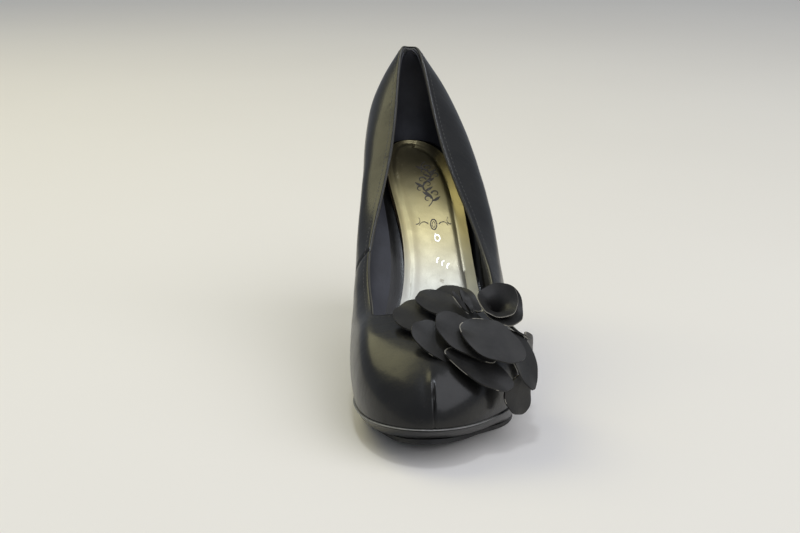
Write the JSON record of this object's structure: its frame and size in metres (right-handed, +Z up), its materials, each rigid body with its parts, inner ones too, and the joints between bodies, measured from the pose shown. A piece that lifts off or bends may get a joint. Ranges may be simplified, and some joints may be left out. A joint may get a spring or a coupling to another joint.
{
  "type": "high heel pump",
  "caption": "Left platform court shoe with a high covered heel, an open topline and a leather leaf rosette on its lateral side.",
  "frame": {"origin": "on the ground under the middle of the ball of the foot, on the outsole's flat tread", "axes": "+Z up, +Y from the toe to the heel, +X to the lateral (outer) side of the left foot"},
  "size_m": [0.0865, 0.2242, 0.1515],
  "materials": {
    "black_leather": "smooth coated leather, semi-gloss",
    "petal_leather": "smooth coated leather with raw cut edges",
    "lining": "smooth synthetic lining, satin",
    "stiffener": "impregnated fibre board, matte",
    "tape": "woven tape, matte",
    "insole_board": "fibre board, matte",
    "foam": "foam, matte",
    "gold_foil": "metallic foil on synthetic, satin",
    "filler": "cork and felt, matte",
    "outsole_rubber": "moulded rubber, matte",
    "platform_core": "moulded foam plastic, matte",
    "platform_wrap": "smooth coated leather, semi-gloss",
    "rand": "thin welt, satin",
    "steel": "plain steel",
    "heel_plastic": "moulded plastic, matte",
    "heel_cover": "smooth coated leather, semi-gloss",
    "top_piece": "hard rubber, matte"
  },
  "bodies": {
    "root": {"vamp": "black_leather", "medial_quarter": "black_leather", "lateral_quarter": "black_leather", "toe_puff": "stiffener", "heel_counter": "stiffener", "topline_tape": "tape", "vamp_lining": "lining", "quarter_lining": "lining", "insole_board": "insole_board", "sock_padding": "foam", "sock": "gold_foil", "bottom_filler": "filler", "outsole": "outsole_rubber", "platform_core": "platform_core", "platform_wrap": "platform_wrap", "rand": "rand", "shank": "steel", "shank_rivet_1": "steel", "shank_rivet_2": "steel", "heel_core": "heel_plastic", "heel_cover": "heel_cover", "heel_dowel": "steel", "heel_screw": "steel", "heel_nail_1": "steel", "heel_nail_2": "steel", "heel_nail_3": "steel", "heel_nail_4": "steel", "top_piece": "top_piece", "top_piece_pin": "steel", "rosette_base": "petal_leather", "bud_petal_1": "petal_leather", "bud_petal_2": "petal_leather", "petal_01": "petal_leather", "petal_02": "petal_leather", "petal_03": "petal_leather", "petal_04": "petal_leather", "petal_05": "petal_leather", "petal_06": "petal_leather", "petal_07": "petal_leather", "petal_08": "petal_leather", "petal_09": "petal_leather", "petal_10": "petal_leather", "petal_11": "petal_leather", "petal_12": "petal_leather"}
  },
  "joints": []
}
